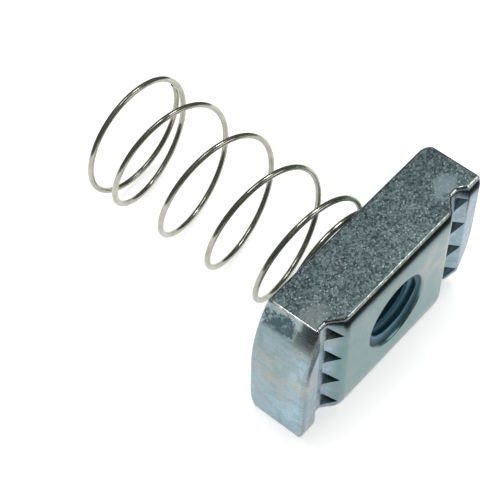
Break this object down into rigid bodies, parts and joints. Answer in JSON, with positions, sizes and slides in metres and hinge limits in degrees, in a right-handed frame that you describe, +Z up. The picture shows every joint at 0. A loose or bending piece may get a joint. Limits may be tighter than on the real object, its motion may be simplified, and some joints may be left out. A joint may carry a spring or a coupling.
{
  "type": "strut spring nut",
  "caption": "Toothed channel nut with a tapped hole and two notched grooves, and a light coil spring staked to its back, for slotted strut.",
  "frame": {"origin": "on the tapped hole's axis, at half the nut's thickness", "axes": "+X along the nut, -Y out of the toothed bearing side that a bolt enters, +Y towards the spring's free end, +Z up from the long side that the nut lies on"},
  "size_m": [0.035, 0.0452, 0.02],
  "materials": {
    "plated_nut": "bright zinc plating with a blue tint, spangled along the rough long sides",
    "spring_wire": "bright drawn spring wire"
  },
  "bodies": {
    "root": {"channel_nut": "plated_nut", "coil_spring": "spring_wire"}
  },
  "joints": []
}
